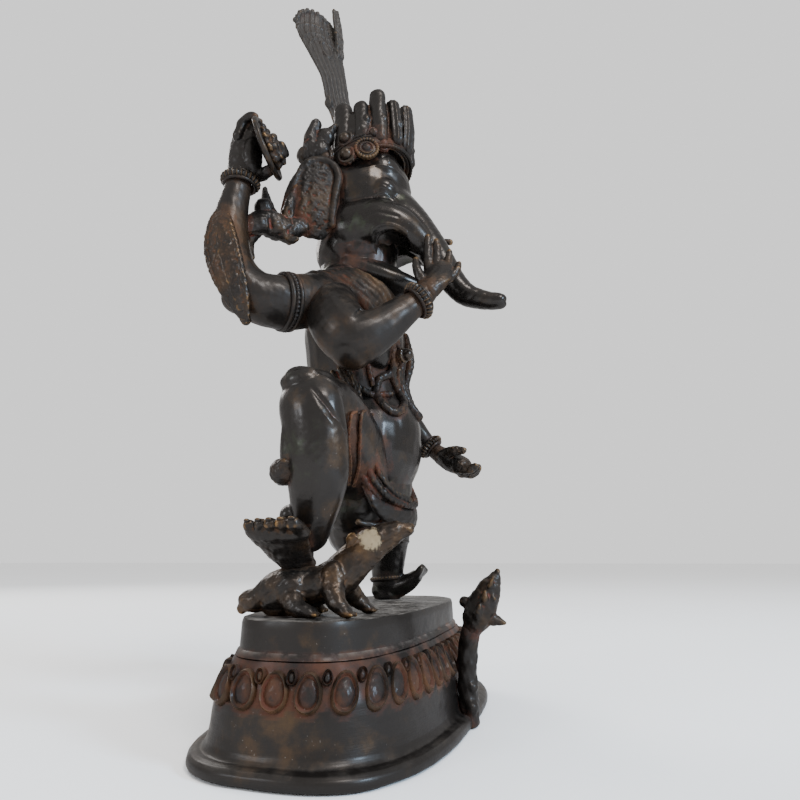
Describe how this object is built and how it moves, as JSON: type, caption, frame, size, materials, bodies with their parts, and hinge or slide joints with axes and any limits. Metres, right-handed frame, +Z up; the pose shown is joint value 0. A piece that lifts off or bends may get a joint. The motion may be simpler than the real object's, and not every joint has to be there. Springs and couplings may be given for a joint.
{
  "type": "dancing ganesha statue",
  "caption": "Cast brass dancing elephant-headed deity with a plumed crown, one foot on a rat, on an open-bottomed lotus pedestal.",
  "frame": {"origin": "centre of the pedestal's resting face", "axes": "+Z up; the figure faces -Y; the figure's own right hand is on the -X side; the long side of the pedestal lies along X"},
  "size_m": [0.2002, 0.1353, 0.4235],
  "materials": {
    "dark_brass": "aged dark patina, semi-gloss on the high places, red pigment in the hollows",
    "worn_brass": "dark patina rubbed through to brown metal",
    "dusty_brass": "dull, dusty dark patina",
    "pedestal_brass": "dark patina, brushed on the skirt"
  },
  "bodies": {
    "root": {"anklet": "dark_brass", "armlets": "dark_brass", "belly_cord": "dark_brass", "bracelets": "dark_brass", "crown_band": "dark_brass", "crown_bosses": "dark_brass", "crown_cap": "dark_brass", "crown_leaves": "dark_brass", "crown_medallions": "dark_brass", "ear_left": "dark_brass", "ear_right": "dark_brass", "elbow_scarf": "dark_brass", "elephant_trunk": "dark_brass", "finial_bud": "pedestal_brass", "finial_stem": "pedestal_brass", "flame_ribbon_left": "dark_brass", "flame_ribbon_right": "dark_brass", "front_arm_left": "dark_brass", "front_arm_right": "dark_brass", "front_hand_left": "dark_brass", "front_hand_right": "dark_brass", "garland": "dark_brass", "head": "dark_brass", "hips": "dark_brass", "knee_boss": "dark_brass", "loincloth": "dark_brass", "lotus_petals": "pedestal_brass", "lower_jaw": "dark_brass", "pedestal_shell": "pedestal_brass", "pendant": "dark_brass", "plate_sweets": "dark_brass", "plinth": "pedestal_brass", "plume": "dusty_brass", "raised_foot": "worn_brass", "raised_leg": "dark_brass", "rat": "worn_brass", "rear_arm_left": "dark_brass", "rear_arm_right": "dark_brass", "rear_hand_left": "dark_brass", "rear_hand_right": "dark_brass", "shoulder_scarf": "dark_brass", "side_ribbon_left": "dark_brass", "side_ribbon_right": "dark_brass", "standing_leg": "worn_brass", "sweets_plate": "dark_brass", "tang_rivets": "pedestal_brass", "torso": "dark_brass", "tusk": "dark_brass"}
  },
  "joints": []
}
